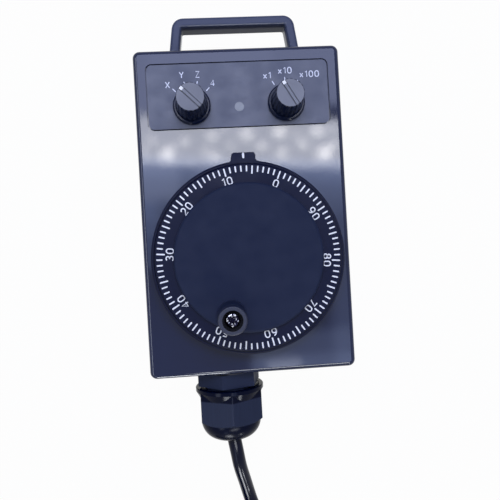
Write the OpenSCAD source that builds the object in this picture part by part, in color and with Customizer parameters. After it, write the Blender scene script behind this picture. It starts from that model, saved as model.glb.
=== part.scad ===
// Hand-held pulse generator with an 80 mm class handwheel, two rotary selectors, a hanging handle
// and a cable gland. It lies on its back: +Z out of the front panel, +Y towards the handle,
// origin at the centre of the rear face.

/* [Case] */
// Width of the case
case_w = 90; // [87:1:110]
// Length of the case, without the handle and the gland
case_l = 142; // [139:1:160]
// Depth of the case, from the rear face to the front panel
case_h = 38; // [38:0.5:46]
// Thickness of the moulded walls and of the front panel
wall = 2.5; // [2.2:0.1:3]
// Corner radius of the case, seen from the front
corner_r = 3; // [2.6:0.1:5]
// Radius of the moulded front edge
edge_r = 2; // [0.8:0.1:2.2]
// Depth of the rear cover
cover_h = 5; // [4.6:0.1:5.4]
// Width and depth of the cord of the case gasket
gasket_t = 1; // [0.8:0.1:1.2]
// Distance of the cover screws from the outer faces
boss_inset = 5.6; // [5.4:0.1:6.2]
// Radius of the screw bosses
boss_r = 4; // [3.6:0.1:4.4]

/* [Control overlay] */
// Width of the label overlay
overlay_w = 78.6; // [70:0.2:80]
// Length of the label overlay
overlay_l = 27.9; // [24:0.1:30]
// Thickness of the label overlay, flush with the panel
overlay_t = 0.5; // [0.3:0.1:0.8]
// Groove round the label overlay
overlay_gap = 0.5; // [0.2:0.05:0.6]
// Distance from the top of the case to the overlay's recess
overlay_top = 6.05; // [5.5:0.05:8]

/* [Handwheel] */
// Distance of the dial's centre below the middle of the case
dial_drop = 20.4; // [19:0.2:21]
// Radius of the handwheel's scale ring
wheel_r = 39.2; // [38.4:0.1:39.6]
// Height of the scale ring above the panel
scale_h = 10; // [9.6:0.1:11]
// Radius of the raised front disc
disc_r = 31.1; // [29:0.1:32]
// Thickness of the raised front disc
disc_t = 3; // [2.8:0.1:3.6]
// Rounding of the front disc's edge
disc_edge = 1.2; // [0.6:0.1:1.6]
// Radial gap between the handwheel and the index flange
wheel_gap = 0.4; // [0.3:0.05:0.6]
// Wall of the index flange
flange_wall = 1.2; // [1:0.1:1.6]
// Height of the index flange above the panel
flange_h = 8; // [7.4:0.1:9]
// How far the index tab stands out from the flange
tab_out = 3.3; // [2.4:0.1:4]
// Width of the index tab at its tip
tab_w = 10.2; // [7:0.2:12]
// Radius of the spindle
spindle_r = 3; // [2.8:0.05:3.2]
// Detents and code slots in one turn
pulses = 100; // [50:10:100]
// Radius of the detent wheel's tips
detent_r = 20; // [18:0.5:20.5]

/* [Crank grip] */
// Distance of the crank grip from the dial's centre
crank_r = 24.5; // [21:0.1:24.8]
// Angle of the crank grip, anticlockwise from +X
crank_angle = 249.4; // [240:0.2:300]
// Radius of the grip at its foot
grip_foot_r = 5.9; // [5.4:0.1:6.2]
// Radius of the grip at its end
grip_end_r = 5.55; // [5.2:0.05:6]
// Length of the grip
grip_l = 18.7; // [16:0.1:24]
// Radius of the recess in the grip's end
grip_recess_r = 3.95; // [3.6:0.05:4.2]
// Radius of the shaft that the grip turns on
crank_shaft_r = 2.25; // [2.1:0.05:2.4]

/* [Selectors] */
// Distance of each selector from the middle of the panel
selector_x = 20.5; // [18:0.1:24]
// Distance of the selectors below the top of the case
selector_drop = 25; // [22.5:0.1:26]
// Height of the knobs above the panel
knob_h = 14.6; // [13.6:0.1:17]
// Radius of the knobs' skirt
knob_skirt_r = 8.1; // [7.6:0.1:8.6]
// Radius of the knobs' top
knob_top_r = 5.9; // [5.7:0.05:6.1]
// Flutes round each knob
knob_flutes = 20; // [12:1:24]
// Radius of the switch bushing
bushing_r = 3.5; // [3.4:0.05:3.6]
// Radius of the switch shaft
shaft_r = 2.4; // [2.2:0.05:2.5]
// Side of the square switch body
switch_w = 19; // [16:0.5:21]
// Depth of the switch body
switch_h = 8.5; // [7.5:0.1:9]
// Angle of the axis knob's pointer at rest, anticlockwise from +Y
axis_rest = 45; // [15:15:45]
// Angle of the multiplier knob's pointer at rest, anticlockwise from +Y
multiplier_rest = 30; // [0:15:30]
// Radius of the indicator's lens
lens_r = 2; // [1.8:0.05:2.5]
// How far the lens lies below the line of the selectors
lens_drop = 0.8; // [0:0.1:2]

/* [Hanging handle] */
// How far the handle stands out from the case
handle_out = 20; // [18:0.5:30]
// Half of the straight length of the handle's bar
handle_bar = 23.2; // [20:0.2:28]
// Thickness of the handle's strap, seen from the front
handle_t = 4.4; // [4.2:0.1:5]
// Depth of the handle's strap
handle_d = 10; // [8:0.5:12]
// Rounding of the strap's corners
handle_round = 1.2; // [0.6:0.1:1.6]
// Lean of each leg
handle_lean = 8; // [0:0.5:9]

/* [Cable gland] */
// Distance of the gland from the middle of the case
gland_off = 11; // [0:0.5:14]
// Radius of the gland's thread in the case
gland_thread_r = 12.5; // [12:0.1:12.8]
// Size of the gland body's hexagon, across the flats
collar_af = 26; // [25.4:0.2:27]
// Length of the gland body's hexagon
collar_l = 6.3; // [5.9:0.1:9]
// Size of the dome nut's hexagon, across the flats
nut_af = 27.8; // [27.4:0.1:28.6]
// Radius of the dome nut's rim
nut_r = 15.8; // [15.6:0.05:16]
// Length of the dome nut
nut_l = 24.4; // [22:0.2:26]
// Radius of the cable
cable_r = 3.25; // [2.8:0.05:3.4]

/* [Connector] */
// Radius of the connector's coupling ring
ring_r = 11; // [10.6:0.1:11]
// Length of the coupling ring
ring_l = 13; // [10:0.5:15]
// Pins in the connector
pins = 7; // [4:1:8]

/* [Fits] */
// Radial clearance of a running fit
run = 0.05; // [0.02:0.01:0.08]
// Radial clearance of pieces that are fixed together
fixed = 0.02; // [0.01:0.01:0.04]
// Radial clearance of a screw in its through hole
screw_gap = 0.2; // [0.1:0.05:0.3]

/* [Hidden] */
$fn = 64;
over = 1;                                  // how far a cut runs past the face that it opens
rim = 0.6;                                 // small land or chamfer on turned and moulded edges

// Heights of the case
panel_z = case_h;
panel_in = panel_z - wall;
boss_x = case_w / 2 - boss_inset;
boss_y = case_l / 2 - boss_inset;
cover_screw_r = 1.5;
cover_head_r = 2.8;
cover_head_h = 2;
insert_r = 2.3;
insert_l = 6;
cover_floor = 2.5;
cover_seat = cover_head_h + rim;           // depth of the counterbores in the cover

// Overlay and panel
overlay_y = case_l / 2 - overlay_top - overlay_gap - overlay_l / 2;
overlay_r = 2.3;
groove_t = 0.6;                            // extra depth of the groove round the overlay
selector_y = case_l / 2 - selector_drop;
lens_y = selector_y - lens_drop;
overlay_z = panel_z - overlay_t;

// Handwheel stack, measured from the panel
dial = [0, -dial_drop, panel_z];
flange_floor = 2.5;
flange_r = wheel_r + wheel_gap + flange_wall;
housing_r = detent_r + 10.5;               // encoder housing, which passes the panel's hole
flange_screw_at = (housing_r + flange_r) / 2;
flange_screw_r = 1.5;
flange_head_r = 2.8;
flange_nut_h = 2.4;
spigot_h = 2;
spigot_r = housing_r + 0.3;
spigot_in = housing_r - 8.5;
dial_hole_r = spigot_r + screw_gap;
housing_screw_at = housing_r - 4.5;
housing_screw_r = 1.25;
housing_head_r = 2.4;
housing_screw_in = 7;
flat_head_h = 1.4;
head_pocket = 1.5;
plate_t = 3;
skirt_t = 2.4;
skirt_h = 3.3;                             // clear height under the wheel's skirt
hub_r = 8;
hub_z = 3.5;
nose_r = 4;
thread_r = 2;
shoulder_z = scale_h - 2;
wheel_nut_af = 7;
wheel_nut_h = 1.8;
pocket_h = wheel_nut_h + 0.4;
clip_t = 0.6;
clip_groove = 0.5;
disc_z = scale_h + disc_t;

// Ball bearings, both alike
bearing_r = 6.5;
bearing_w = 5;
race_t = 1.1;
ball_r = 1.15;
ball_track = (spindle_r + fixed + bearing_r) / 2;
balls = 7;
front_bearing_z = 3 - bearing_w;
rear_bearing_z = -18;
// Turns of the ball sets for one turn of the spindle: the inner track over both tracks
ball_ratio = (ball_track - ball_r) / (2 * ball_track);

// Encoder, measured from the panel
housing_wall = 2;
housing_z = -22;
housing_top = -spigot_h;
bearing_boss_r = 9.5;
lip_r = 5.4;
detent_hub_r = lip_r - 0.4;
post_r = 2.6;
detent_z = -6.5;
detent_t = 2.5;
detent_hub = front_bearing_z - detent_z - detent_t;      // hub on each side of the teeth
tooth_h = 0.45;
tip_r = 0.6;
// Radius at which a round tip touches both flanks of a valley, with a running gap
valley_half = atan(PI * detent_r / pulses / tooth_h);
tip_at = detent_r - tooth_h + (tip_r + run) / sin(valley_half);
spring_t = 0.35;
spring_l = 15;
spring_a = 150;                            // where the detent spring's tip meets the wheel
disc_code_z = -10.2;
disc_code_t = 0.5;
disc_code_r = detent_r + 1.5;
slot_l = 2.4;
board_z = -16.5;
board_t = 1.5;
board_in = 10.5;
board_out = disc_code_r + 1.7;
sensor_a = 270;                            // where the light gate straddles the code disc
sensor_gap = 0.8;
gate_l = 7.2;
block_w = 30;
block_l = 9;
block_h = 9;
block_wire_z = 6.5;
block_y = -12;
terminals = 4;
terminal_pitch = 6.6;

// Crank grip
crank = [crank_r * cos(crank_angle), crank_r * sin(crank_angle)];
crank_seat_t = 0.6;
crank_play = 0.2;
grip_z = disc_z + crank_seat_t + crank_play;
grip_top = grip_z + grip_l;
grip_recess = 4.2;
shaft_top = grip_top - grip_recess + crank_play;
crank_screw_r = 1.5;
crank_head_r = 3;
crank_head_h = 2.1;

// Selectors, measured from the panel
washer_h = 0.6;
bush_nut_h = 2;
bush_nut_af = 10;
bush_top = 5;
knob_z = 0.5;
knob_base_h = 1.6;
knob_body_r = 7;
knob_cavity_r = 6.2;
cap_t = 1;
cap_r = knob_top_r - 0.3;
collet_r = 4.2;
collet_z = bush_top + 0.5;
pointer_w = 1.1;
pointer_h = 0.35;
pointer_line = 0.45;                       // sunk line on each side of the bar
switch_top = -wall;
board2_z = switch_top - switch_h;
board2_t = 1.6;
board2_w = 66;
board2_l = 32;
pin_r = 0.45;
pin_l = 4;
switch_pins = 6;

// Handle
handle_z = case_h / 2;
handle_y = case_l / 2 + handle_out - handle_t / 2;
bend_r = handle_t / 2 + 0.9;
leg_x = handle_bar + bend_r * cos(handle_lean);
leg_y = handle_y - bend_r + bend_r * sin(handle_lean);
foot_x = leg_x + (leg_y - case_l / 2) * tan(handle_lean);
handle_screw_r = 1.25;
handle_screw_l = 6;
handle_head_r = 2.4;
handle_head_h = 1.6;

// Gland, measured outwards from the lower face of the case
gland = [-gland_off, -case_l / 2, case_h / 2];
seal_washer_t = 1.5;
locknut_h = 4.5;
locknut_af = 27.2;
collar_turn = 42;                          // turns of the two hexagons about the gland's axis
nut_turn = 27;
nut_start = seal_washer_t + collar_l + 0.8;
stub_l = wall + locknut_h + 1.5;             // thread inside the case
gland_bore_r = 8.2;
stem_r = 11.2;
stem_l = 11;
nut_end = nut_start + nut_l;
claw_l = 6;
claws = 8;
seal_l = 14;
dome_l = 8.2;
mouth_r = cable_r + 1.75;
wire_room = 7.6;                           // from the jacket's end to the encoder housing
entry_in = case_l / 2 - dial_drop - housing_r - wire_room;
wire_r = 0.6;
bundle_r = 1.4;

// Cable: its two free stretches, by points from the gland in plan and heights from the floor, and the
// coil between them
entry_out = 25.2;                          // end of the straight length held by the seal
cable_out = [for (p = [
    [0, -entry_out, case_h / 2], [0, -26.4, case_h / 2], [0.15, -29, 19], [0.5, -32, 18.95],
    [0.95, -35.5, 18.7], [1.5, -39, 18.2], [2, -42.65, 17.4], [2.5, -46.5, 16.1],
    [3.05, -50.3, 14.55], [4.4, -56.2, 11.25],
    [5.3, -60.5, 8.85], [6.25, -65, 6.7], [7.7, -71.3, 4.6], [9.1, -75.5, 3.75], [11.2, -80.5, 3.3],
    [14, -85.5, 3.25], [17.2, -90.3, 3.25], [20.4, -95.1, 3.25], [23.3, -100, 3.25]
]) [gland[0] + p[0], gland[1] + p[1], p[2]]];
cable_tail = [for (p = [
    [12.4, -91, 9.9], [17.8, -95.6, 9.9], [23.2, -100.1, 10], [28.4, -104.8, 10.2], [33.2, -109.9, 10.6],
    [37.4, -115.4, 10.9], [40.6, -121.4, 11], [42.5, -127.6, 11], [43, -132, 11], [43, -134, 11]
]) [gland[0] + p[0], gland[1] + p[1], p[2]]];
coil_at = [gland[0] - 17, gland[1] - 126, 0];
coil_r = 36;                               // mean radius of the turns
coil_columns = 4;
coil_layers = 2;
coil_pitch = 2 * cable_r + 0.1;
coil_w = (coil_columns - 1) * coil_pitch + 2 * cable_r;
coil_h = (coil_layers - 1) * coil_pitch + 2 * cable_r;

// Connector at the end of the cable
plug_at = cable_tail[len(cable_tail) - 1];
boot_l = 12;
shell_r = 8.6;
shell_l = 20;
ring_from = boot_l + 8;
plug_wall = 1.2;
insert_back = boot_l + shell_l - 8;
plug_pin_l = 6;

case_colour = [0.16, 0.18, 0.25];
wheel_colour = [0.08, 0.09, 0.15];
overlay_colour = [0.30, 0.31, 0.38];
steel = [0.72, 0.73, 0.75];
brass = [0.76, 0.60, 0.28];
rubber = [0.05, 0.05, 0.06];
board_colour = [0.08, 0.28, 0.16];

// ---- Shared shapes ----

// Rounded rectangle, in the plane
module plan(w, l, r) {
    square([w, l - 2 * r], center = true);
    square([w - 2 * r, l], center = true);
    for (x = [-1, 1], y = [-1, 1])
        translate([x * (w / 2 - r), y * (l / 2 - r)]) circle(r);
}

// Quarter of a disc, in the plane
module quarter(r) {
    intersection() {
        circle(r);
        square(r);
    }
}

// Rounded block on z = 0 whose upper edge is filleted all round
module edged_block(w, l, h, r, e) {
    linear_extrude(h - e) plan(w, l, r);
    translate([0, 0, h - e]) {
        linear_extrude(e) {
            square([w - 2 * r, l - 2 * e], center = true);
            square([w - 2 * e, l - 2 * r], center = true);
        }
        for (side = [0, 1]) rotate([0, 0, 180 * side]) {
            translate([-w / 2 + r, l / 2 - e, 0]) rotate([90, 0, 90]) linear_extrude(w - 2 * r) quarter(e);
            translate([w / 2 - e, l / 2 - r, 0]) rotate([90, 0, 0]) linear_extrude(l - 2 * r) quarter(e);
            for (x = [-1, 1]) translate([x * (w / 2 - r), l / 2 - r, 0])
                rotate_extrude(angle = 90, start = x > 0 ? 0 : 90) {
                    square([r - e, e]);
                    translate([r - e, 0]) quarter(e);
                }
        }
    }
}

// Ring on z = 0
module ring(r_out, r_in, h) {
    linear_extrude(h) difference() {
        circle(r_out);
        circle(r_in);
    }
}

// Hexagonal prism on z = 0, by its size across the flats
module hexagon(af, h) {
    cylinder(r = af / 2 / cos(30), h = h, $fn = 6);
}

// Hexagonal nut on z = 0
module nut(af, h, bore) {
    difference() {
        hexagon(af, h);
        translate([0, 0, -over]) cylinder(r = bore, h = h + 2 * over);
    }
}

// Screw with a flat round head: head underside on z = 0, shank towards -z, cross recess in the head
module screw(r, l, head_r, head_h, recess = 1) {
    difference() {
        union() {
            translate([0, 0, -l]) cylinder(r = r, h = l);
            cylinder(r = head_r, h = head_h);
        }
        for (turn = [0, 90]) rotate([0, 0, turn])
            translate([0, 0, head_h]) cube([1.2 * head_r, 0.35 * head_r, 2 * recess], center = true);
    }
}

module at_corners() {
    for (x = [-1, 1], y = [-1, 1]) translate([x * boss_x, y * boss_y, 0]) children();
}

// Children round the dial's axis, at a radius and a list of angles
module round_dial(r, angles) {
    for (a = angles) translate(dial) rotate([0, 0, a]) translate([r, 0, 0]) children();
}

// Children on the gland's axis, their +Z pointing out of the case
module at_gland() {
    translate(gland) rotate([90, 0, 0]) children();
}

// Children on the connector's axis, their +Z pointing away from the cable
module at_plug() {
    translate(plug_at) rotate([90, 0, 0]) children();
}

module at_selectors() {
    for (x = [-1, 1]) translate([x * selector_x, selector_y, panel_z]) children();
}

module at_handle_feet() {
    for (x = [-1, 1]) translate([x * foot_x, case_l / 2, handle_z]) rotate([-90, 0, 0]) children();
}

flange_angles = [30, 150, 270];
post_angles = [90, 210, 330];

// ---- Sweeps: a section carried along a path, as one closed skin ----

function unit(v) = v / norm(v);
function heading(path, i) = unit(path[min(i + 1, len(path) - 1)] - path[max(i - 1, 0)]);
function side_of(d) = unit(cross(d, abs(d[2]) > 0.999 ? [0, -1, 0] : [0, 0, 1]));
function arc(r, from, to, steps) = [for (i = [0 : steps])
    let (a = from + (to - from) * i / steps) r * [cos(a), sin(a)]];
function round_section(r, sides) = [for (k = [0 : sides - 1])
    r * [cos(360 * k / sides), sin(360 * k / sides)]];
function strap_section(w, d, r) = [for (q = [0 : 3], p = arc(r, 90 * q, 90 * q + 90, 4))
    p + [(q == 0 || q == 3 ? 1 : -1) * (w / 2 - r), (q < 2 ? 1 : -1) * (d / 2 - r)]];

module sweep(path, section) {
    m = len(section);
    n = len(path);
    points = [for (i = [0 : n - 1])
        let (d = heading(path, i), u = side_of(d), v = cross(u, d))
        each [for (q = section) path[i] + q[0] * u + q[1] * v]];
    skin = [for (i = [0 : n - 2], k = [0 : m - 1])
        let (a = i * m + k, b = i * m + (k + 1) % m) [a, b, b + m, a + m]];
    ends = [[for (k = [m - 1 : -1 : 0]) k], [for (k = [0 : m - 1]) (n - 1) * m + k]];
    polyhedron(points, concat(skin, ends), convexity = 6);
}

// ---- Case ----

module front_shell() {
    color(case_colour) difference() {
        translate([0, 0, cover_h]) edged_block(case_w, case_l, case_h - cover_h, corner_r, edge_r);
        difference() {
            translate([0, 0, cover_h - over]) linear_extrude(panel_in - cover_h + over)
                plan(case_w - 2 * wall, case_l - 2 * wall, max(corner_r - wall, 0.5));
            at_corners() translate([0, 0, cover_h]) cylinder(r = boss_r, h = panel_in);
        }
        at_corners() translate([0, 0, cover_h - over]) {
            cylinder(r = insert_r + fixed, h = insert_l + over);
            cylinder(r = cover_screw_r + screw_gap, h = insert_l + over + 4);
        }
        translate([0, overlay_y, overlay_z]) linear_extrude(overlay_t + over)
            plan(overlay_w + 2 * overlay_gap, overlay_l + 2 * overlay_gap, overlay_r + overlay_gap);
        translate([0, overlay_y, overlay_z - groove_t]) linear_extrude(groove_t + over) difference() {
            plan(overlay_w + 2 * overlay_gap, overlay_l + 2 * overlay_gap, overlay_r + overlay_gap);
            plan(overlay_w, overlay_l, overlay_r);
        }
        translate(dial - [0, 0, wall + over]) cylinder(r = dial_hole_r, h = wall + 2 * over);
        round_dial(flange_screw_at, flange_angles) translate([0, 0, -wall - over])
            cylinder(r = flange_screw_r + screw_gap, h = wall + 2 * over);
        at_selectors() translate([0, 0, -wall - over])
            cylinder(r = bushing_r + run, h = wall + 2 * over);
        translate([0, lens_y, panel_in - over]) cylinder(r = lens_r + fixed, h = wall + 2 * over);
        at_gland() translate([0, 0, -wall - over])
            cylinder(r = gland_thread_r + screw_gap, h = wall + 2 * over);
        at_handle_feet() translate([0, 0, -wall - over])
            cylinder(r = handle_screw_r + screw_gap, h = wall + 2 * over);
    }
}

module rear_cover() {
    color(case_colour) difference() {
        translate([0, 0, cover_h]) mirror([0, 0, 1])
            edged_block(case_w, case_l, cover_h, corner_r, edge_r / 2);
        difference() {
            translate([0, 0, cover_floor]) linear_extrude(cover_h)
                plan(case_w - 2 * wall, case_l - 2 * wall, max(corner_r - wall, 0.5));
            at_corners() cylinder(r = boss_r, h = 2 * cover_h);
        }
        gasket_ring(cover_h - gasket_t, gasket_t + over, fixed);
        at_corners() translate([0, 0, -over]) {
            cylinder(r = cover_screw_r + screw_gap, h = cover_h + 2 * over);
            cylinder(r = cover_head_r + screw_gap, h = cover_seat + over);
        }
    }
}

module gasket_ring(z, h, gap) {
    mid = wall / 2;
    translate([0, 0, z]) linear_extrude(h) difference() {
        plan(case_w - 2 * mid + gasket_t + 2 * gap, case_l - 2 * mid + gasket_t + 2 * gap,
            corner_r - mid + gasket_t / 2 + gap);
        plan(case_w - 2 * mid - gasket_t - 2 * gap, case_l - 2 * mid - gasket_t - 2 * gap,
            corner_r - mid - gasket_t / 2 - gap);
    }
}

module case_gasket() {
    color(rubber) gasket_ring(cover_h - gasket_t, gasket_t, 0);
}

module cover_screws() {
    color(steel) at_corners() translate([0, 0, cover_seat]) mirror([0, 0, 1])
        screw(cover_screw_r, cover_h - cover_seat + insert_l, cover_head_r, cover_head_h, 1.2);
}

module threaded_inserts() {
    color(brass) at_corners() translate([0, 0, cover_h])
        ring(insert_r, cover_screw_r + fixed, insert_l);
}

module control_overlay() {
    color(overlay_colour) difference() {
        translate([0, overlay_y, overlay_z]) linear_extrude(overlay_t)
            plan(overlay_w, overlay_l, overlay_r);
        at_selectors() translate([0, 0, -overlay_t - over])
            cylinder(r = bushing_r + run, h = overlay_t + 2 * over);
        translate([0, lens_y, overlay_z - over]) cylinder(r = lens_r + fixed, h = overlay_t + 2 * over);
    }
}

module indicator_lens() {
    color([0.62, 0.63, 0.68]) translate([0, lens_y, panel_in]) cylinder(r = lens_r, h = wall);
}

module indicator_lamp() {
    lamp_h = 5;
    color([0.85, 0.85, 0.8]) translate([0, lens_y, panel_in - lamp_h]) {
        cylinder(r = 1.5, h = lamp_h);
        cylinder(r = 1.9, h = 1);
    }
    color(steel) for (x = [-1, 1])
        translate([x * 1.27 / 2, lens_y, panel_z + board2_z - board2_t - 1])
            cylinder(r = 0.25, h = panel_in - lamp_h - panel_z - board2_z + board2_t + 1.5);
}

// ---- Hanging handle ----

// The strap's centreline: a foot inside the case's face, a bend at each top corner, and the other foot
module hanging_handle() {
    bend = [for (p = arc(bend_r, handle_lean, 90, 8)) p + [handle_bar, handle_y - bend_r]];
    foot = [foot_x + handle_t * tan(handle_lean), case_l / 2 - handle_t];
    half = concat([foot], bend);
    path = concat(
        [for (p = half) [p[0], p[1], handle_z]],
        [for (i = [len(half) - 1 : -1 : 0]) [-half[i][0], half[i][1], handle_z]]
    );
    color(case_colour) difference() {
        sweep(path, strap_section(handle_t, handle_d, handle_round));
        translate([-case_w, -case_l / 2, -case_h]) cube([2 * case_w, case_l, 3 * case_h]);
        at_handle_feet() translate([0, 0, -over])
            cylinder(r = handle_screw_r + fixed, h = handle_screw_l + 2 * over);
    }
}

module handle_screws() {
    color(steel) at_handle_feet() translate([0, 0, -wall]) mirror([0, 0, 1])
        screw(handle_screw_r, wall + handle_screw_l, handle_head_r, handle_head_h, handle_head_h / 2);
}

// ---- Index flange and encoder housing ----

module index_flange() {
    color(wheel_colour) difference() {
        translate(dial) {
            rotate_extrude() {
                polygon([
                    [lip_r, front_bearing_z - 1], [bearing_boss_r, front_bearing_z - 1], [bearing_boss_r, 0],
                    [spigot_in, 0], [spigot_in, -spigot_h], [spigot_r, -spigot_h], [spigot_r, 0],
                    [flange_r, 0], [flange_r, flange_h - rim], [flange_r - rim, flange_h],
                    [flange_r - flange_wall, flange_h], [flange_r - flange_wall, flange_floor],
                    [bearing_boss_r, flange_floor], [bearing_boss_r, front_bearing_z + bearing_w],
                    [bearing_r + fixed, front_bearing_z + bearing_w], [bearing_r + fixed, front_bearing_z],
                    [lip_r, front_bearing_z]
                ]);
            }
            linear_extrude(flange_h) index_tab();
        }
        round_dial(flange_screw_at, flange_angles) {
            translate([0, 0, -over]) cylinder(r = flange_screw_r + screw_gap, h = flange_floor + 2 * over);
            translate([0, 0, flange_floor - head_pocket])
                cylinder(r = flange_head_r + screw_gap, h = head_pocket + over);
        }
        round_dial(housing_screw_at, post_angles) {
            translate([0, 0, -spigot_h - over])
                cylinder(r = housing_screw_r + screw_gap, h = flange_floor + spigot_h + 2 * over);
            translate([0, 0, flange_floor - head_pocket])
                cylinder(r = housing_head_r + screw_gap, h = head_pocket + over);
        }
    }
}

// Outline of the tab that carries the index mark, from inside the flange's wall outwards
module index_tab() {
    tip = flange_r + tab_out;
    root = flange_r - flange_wall + 0.2;
    soft = 1.3;
    base = sqrt(pow(flange_r, 2) - pow(tab_w / 2 + soft, 2));
    difference() {
        union() {
            translate([-tab_w / 2 + soft, root]) square([tab_w - 2 * soft, tip - root]);
            translate([-tab_w / 2, root]) square([tab_w, tip - root - soft]);
            for (x = [-1, 1]) translate([x * (tab_w / 2 - soft), tip - soft]) circle(soft);
            translate([-tab_w / 2 - soft, base - rim]) square([tab_w + 2 * soft, soft + rim]);
        }
        for (x = [-1, 1]) translate([x * (tab_w / 2 + soft), base + soft]) circle(soft);
        circle(root);
    }
}

module flange_screws() {
    color(steel) round_dial(flange_screw_at, flange_angles) translate([0, 0, flange_floor - head_pocket])
        screw(flange_screw_r, flange_floor - head_pocket + wall + 1.25 * flange_nut_h, flange_head_r,
            flat_head_h, 0.6 * flat_head_h);
}

module flange_nuts() {
    color(steel) round_dial(flange_screw_at, flange_angles) translate([0, 0, -wall - flange_nut_h])
        nut(5.5, flange_nut_h, flange_screw_r + fixed);
}

module encoder_housing() {
    depth = housing_top - housing_z;
    color(wheel_colour) difference() {
        union() {
            translate(dial) rotate_extrude() polygon([
                [0, housing_z], [housing_r - rim, housing_z], [housing_r, housing_z + rim],
                [housing_r, housing_top], [housing_r - housing_wall, housing_top],
                [housing_r - housing_wall, housing_z + housing_wall],
                [bearing_boss_r, housing_z + housing_wall],
                [bearing_boss_r, rear_bearing_z + bearing_w], [bearing_r + fixed, rear_bearing_z + bearing_w],
                [bearing_r + fixed, rear_bearing_z], [lip_r, rear_bearing_z],
                [lip_r, housing_z + housing_wall], [0, housing_z + housing_wall]
            ]);
            round_dial(housing_screw_at, post_angles) translate([0, 0, housing_z + housing_wall / 2]) {
                cylinder(r = post_r, h = depth - housing_wall / 2);
                translate([0, -1, 0]) cube([housing_r - housing_screw_at - 1, 2, depth - housing_wall / 2]);
            }
            round_dial(board_out - 4, [45, 135, 225, 315]) translate([0, 0, housing_z + housing_wall / 2])
                cylinder(r = 1.5, h = board_z - housing_z - housing_wall / 2);
            detent_anchor();
        }
        round_dial(housing_screw_at, post_angles) translate([0, 0, housing_top - housing_screw_in - 1])
            cylinder(r = housing_screw_r + fixed, h = housing_screw_in + 1 + over);
    }
}

module housing_screws() {
    color(steel) round_dial(housing_screw_at, post_angles) translate([0, 0, flange_floor - head_pocket])
        screw(housing_screw_r, flange_floor - head_pocket + spigot_h + housing_screw_in, housing_head_r,
            flat_head_h, 0.6 * flat_head_h);
}

// ---- Bearings, spindle, detent and code disc ----

module race(r_out, r_in) {
    rotate_extrude() difference() {
        translate([r_in, 0]) square([r_out - r_in, bearing_w]);
        translate([ball_track, bearing_w / 2]) circle(ball_r + run);
    }
}

module at_bearings() {
    for (z = [front_bearing_z, rear_bearing_z]) translate(dial + [0, 0, z]) children();
}

module bearing_outer_races() {
    color(steel) at_bearings() race(bearing_r, bearing_r - race_t);
}

module bearing_inner_races() {
    color(steel) at_bearings() race(spindle_r + fixed + race_t, spindle_r + fixed);
}

module bearing_balls() {
    color(steel) at_bearings() for (i = [0 : balls - 1]) rotate([0, 0, 360 * i / balls])
        translate([ball_track, 0, bearing_w / 2]) sphere(ball_r);
}

module main_spindle() {
    bottom = rear_bearing_z - clip_t - 0.8;
    color(steel) translate(dial) difference() {
        union() {
            translate([0, 0, bottom]) cylinder(r = spindle_r, h = shoulder_z - bottom);
            translate([0, 0, shoulder_z - over])
                cylinder(r = thread_r, h = scale_h + wheel_nut_h - shoulder_z + over);
        }
        translate([0, 0, rear_bearing_z - clip_t]) ring(2 * spindle_r, spindle_r - clip_groove, clip_t);
    }
}

// Toothed wheel whose valleys hold the spring's tip once in every pulse
module detent_wheel() {
    step = 360 / pulses;
    color(brass) translate(dial + [0, 0, detent_z]) rotate([0, 0, spring_a]) difference() {
        union() {
            linear_extrude(detent_t) polygon([for (i = [0 : pulses - 1], k = [0, 1])
                let (r = detent_r - (k == 0 ? tooth_h : 0), a = step * (i + k / 2)) r * [cos(a), sin(a)]]);
            translate([0, 0, -detent_hub]) cylinder(r = detent_hub_r, h = detent_t + 2 * detent_hub);
        }
        translate([0, 0, -detent_hub - over])
            cylinder(r = spindle_r + fixed, h = detent_t + 2 * detent_hub + 2 * over);
        for (a = [0 : 60 : 300]) rotate([0, 0, a]) translate([(detent_r + detent_hub_r) / 2, 0, -over])
            cylinder(r = 0.18 * detent_r, h = detent_t + 2 * over);
    }
}

// Leaf spring held by the housing, with a round tip in one valley of the detent wheel
module detent_spring() {
    color(steel) translate(dial + [0, 0, detent_z + 0.25]) rotate([0, 0, spring_a]) {
        translate([tip_at, 0, 0]) cylinder(r = tip_r, h = detent_t - 0.5);
        translate([tip_at + tip_r - 0.1, -1, 0]) cube([spring_t, spring_l, detent_t - 0.5]);
    }
}

// Pillar of the housing that carries the spring
module detent_anchor() {
    translate(dial + [0, 0, housing_z + housing_wall / 2]) rotate([0, 0, spring_a])
        translate([tip_at + tip_r - 0.1 + spring_t, spring_l - 5, 0])
            cube([2.2, 3.5, detent_z + detent_t - housing_z - housing_wall / 2]);
}

// Slotted disc on a short hub: one slot for each pulse
module code_disc() {
    color([0.75, 0.78, 0.8]) translate(dial + [0, 0, disc_code_z]) difference() {
        union() {
            linear_extrude(disc_code_t) difference() {
                circle(disc_code_r);
                for (i = [0 : pulses - 1]) rotate(360 * i / pulses)
                    translate([disc_code_r - 1 - slot_l, -0.3]) square([slot_l, 0.6]);
            }
            translate([0, 0, -1.5]) cylinder(r = 5, h = 1.5 + disc_code_t + 1);
        }
        translate([0, 0, -1.5 - over]) cylinder(r = spindle_r + fixed, h = 3 + disc_code_t + 2 * over);
    }
}

module sensor_board() {
    color(board_colour) translate(dial + [0, 0, board_z]) linear_extrude(board_t) difference() {
        circle(board_out);
        circle(board_in);
    }
}

// Light gate: a block on the sensor board with a slot that the code disc runs in
module light_gate() {
    foot = board_z + board_t;
    top = disc_code_z + disc_code_t + 2.6;
    color([0.1, 0.1, 0.1]) round_dial(0, [sensor_a]) difference() {
        translate([board_out - gate_l, -4, foot]) cube([gate_l, 8, top - foot]);
        translate([board_out - gate_l - over, -4 - over, disc_code_z - sensor_gap])
            cube([disc_code_r + sensor_gap - board_out + gate_l + over, 8 + 2 * over,
                disc_code_t + 2 * sensor_gap]);
    }
}

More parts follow.
